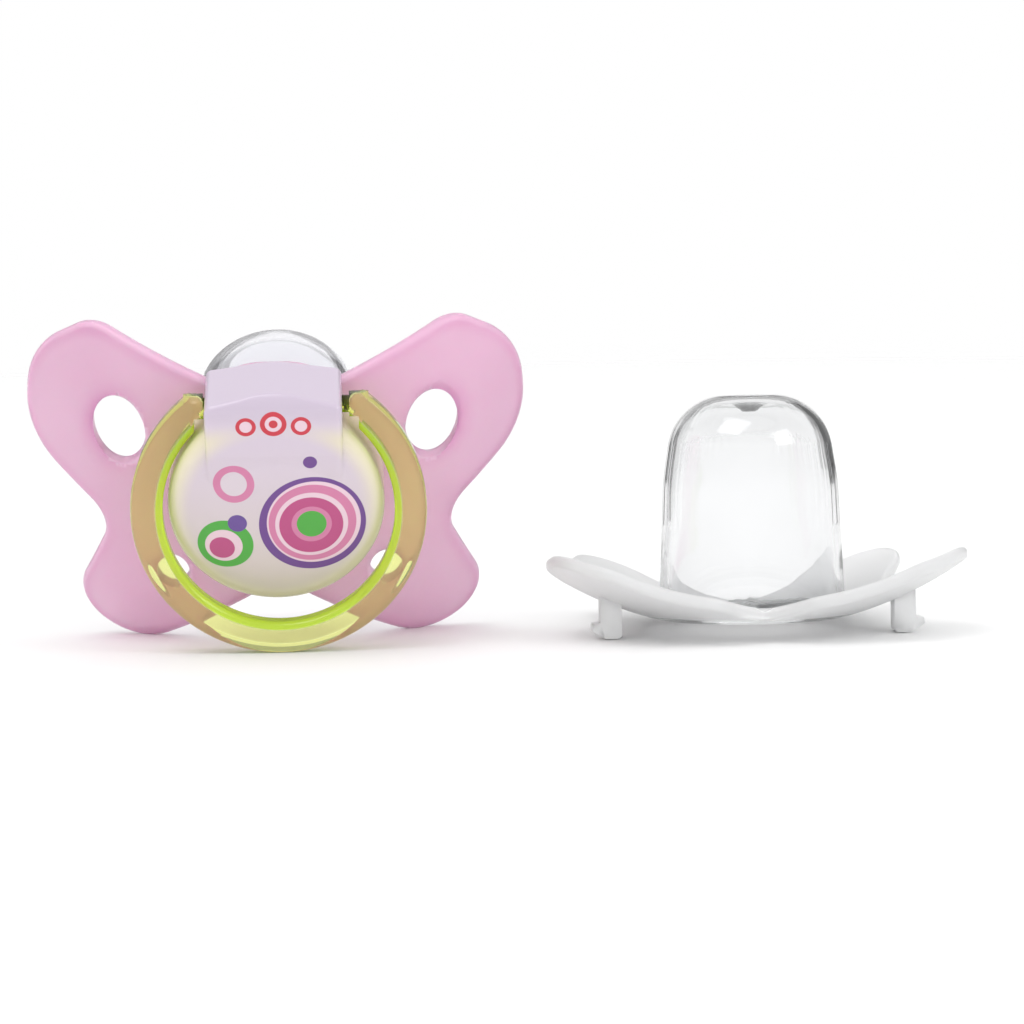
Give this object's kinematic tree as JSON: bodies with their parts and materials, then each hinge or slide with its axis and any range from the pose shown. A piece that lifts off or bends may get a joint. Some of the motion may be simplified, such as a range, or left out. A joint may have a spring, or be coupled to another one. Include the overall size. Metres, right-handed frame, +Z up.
{
  "type": "pacifier",
  "caption": "Baby's pacifier with a butterfly shield, hollow teat, round button cover and swinging ring handle, beside its clear clip-on teat cap.",
  "frame": {"origin": "on the table, under the middle of the pacifier and its cap", "axes": "+X to the right along the row of the two pieces, +Y from the pacifier's front to its teat, +Z up"},
  "size_m": [0.1098, 0.04, 0.0385],
  "materials": {
    "shield_pink": "glossy translucent pink polypropylene",
    "cover_white": "glossy pearl white with printed circles",
    "ring_yellow": "clear lime yellow plastic, polished",
    "teat_silicone": "clear silicone rubber",
    "plug_white": "white moulded plastic",
    "cap_clear": "clear polished dome, lightly frosted flange"
  },
  "bodies": {
    "pacifier": {"shield": "shield_pink", "front_cover": "cover_white", "nipple": "teat_silicone", "nipple_plug": "plug_white"},
    "ring": {"ring_handle": "ring_yellow"},
    "cap": {"nipple_cap": "cap_clear"}
  },
  "joints": [
    {"name": "ring_hinge", "type": "hinge", "parent": "pacifier", "child": "ring", "pos_m": [-0.02568, -0.01531, 0.0288], "axis": [-1, 0, 0], "range_deg": [-18, 212]},
    {"name": "cap_lift_off", "type": "slide", "parent": "pacifier", "child": "cap", "axis": [0, 0, 1], "range_m": [0, 0.05]}
  ]
}
